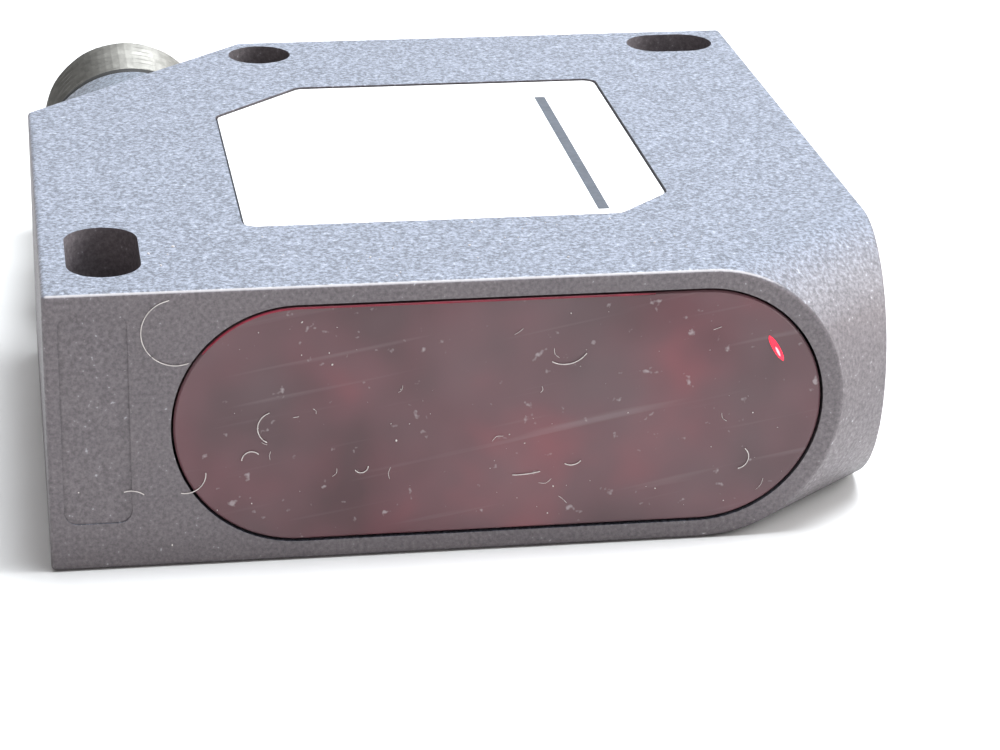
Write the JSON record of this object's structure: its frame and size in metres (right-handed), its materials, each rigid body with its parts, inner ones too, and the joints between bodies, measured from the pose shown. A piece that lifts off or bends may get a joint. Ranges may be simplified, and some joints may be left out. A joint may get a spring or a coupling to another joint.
{
  "type": "photoelectric sensor",
  "caption": "flat block-shaped photoelectric sensor with an obround red window, a rounded nose, mounting holes through its flank and a swivel round connector on a cut corner",
  "frame": {"origin": "centre of the flat mounting flank on which the sensor lies, midway along the 50 mm block", "axes": "+X towards the head end with the rounded nose, -Y the way the window faces, +Z out of the mounting flank through the thickness"},
  "size_m": [0.0502, 0.061, 0.017],
  "materials": {
    "housing_paint": "satin",
    "cover_paint": "satin",
    "seal_rubber": "matte",
    "screw_steel": "satin",
    "window_red": "gloss",
    "black_plastic": "matte",
    "lens_clear": "gloss",
    "board_green": "satin",
    "chip_black": "matte",
    "shield_tin": "satin",
    "led_red": "gloss",
    "capacitor_can": "satin",
    "ceramic_chip": "satin",
    "contact_gold": "gloss",
    "led_white": "gloss",
    "guide_green": "gloss",
    "guide_yellow": "gloss",
    "trimmer_blue": "satin",
    "rotor_white": "satin",
    "adjuster_plastic": "satin",
    "elbow_paint": "satin",
    "sleeve_nickel": "satin",
    "contact_black": "matte",
    "wire_sheath": "matte",
    "label_white": "matte"
  },
  "bodies": {
    "sensor_body": {"housing": "housing_paint", "flank_cover": "cover_paint", "cover_seal": "seal_rubber", "cover_screws": "screw_steel", "front_window": "window_red", "window_seal": "seal_rubber", "lens_carrier": "black_plastic", "receiver_lens": "lens_clear", "emitter_lens": "lens_clear", "carrier_screws": "screw_steel", "optics_board": "board_green", "photodiode": "chip_black", "receiver_shield": "shield_tin", "emitter_led": "led_red", "main_board": "board_green", "board_screws": "screw_steel", "microcontroller": "chip_black", "output_driver": "chip_black", "smoothing_capacitor": "capacitor_can", "inductor": "chip_black", "chip_parts": "ceramic_chip", "header_block": "black_plastic", "header_pins": "contact_gold", "green_led": "led_white", "yellow_led": "led_white", "green_light_guide": "guide_green", "yellow_light_guide": "guide_yellow", "trimmer_body": "trimmer_blue", "lead_wires": "wire_sheath", "type_label": "label_white"},
    "adjuster": {"adjuster_screw": "adjuster_plastic", "adjuster_seal": "seal_rubber", "adjuster_clip": "screw_steel", "trimmer_rotor": "rotor_white"},
    "connector": {"swivel_elbow": "elbow_paint", "swivel_oring": "seal_rubber", "swivel_retainer": "screw_steel", "connector_sleeve": "sleeve_nickel", "contact_carrier": "contact_black", "contact_pins": "contact_gold", "connector_oring": "seal_rubber"}
  },
  "joints": [
    {"name": "connector_swivel", "type": "hinge", "parent": "sensor_body", "child": "connector", "pos_m": [-0.0176, 0.0174, 0.0085], "axis": [0.7071, -0.7071, 0], "range_deg": [0, 180]},
    {"name": "sensitivity_turn", "type": "hinge", "parent": "sensor_body", "child": "adjuster", "pos_m": [0.0235, 0.006, 0.0085], "axis": [1, 0, 0], "range_deg": [-135, 135]}
  ]
}
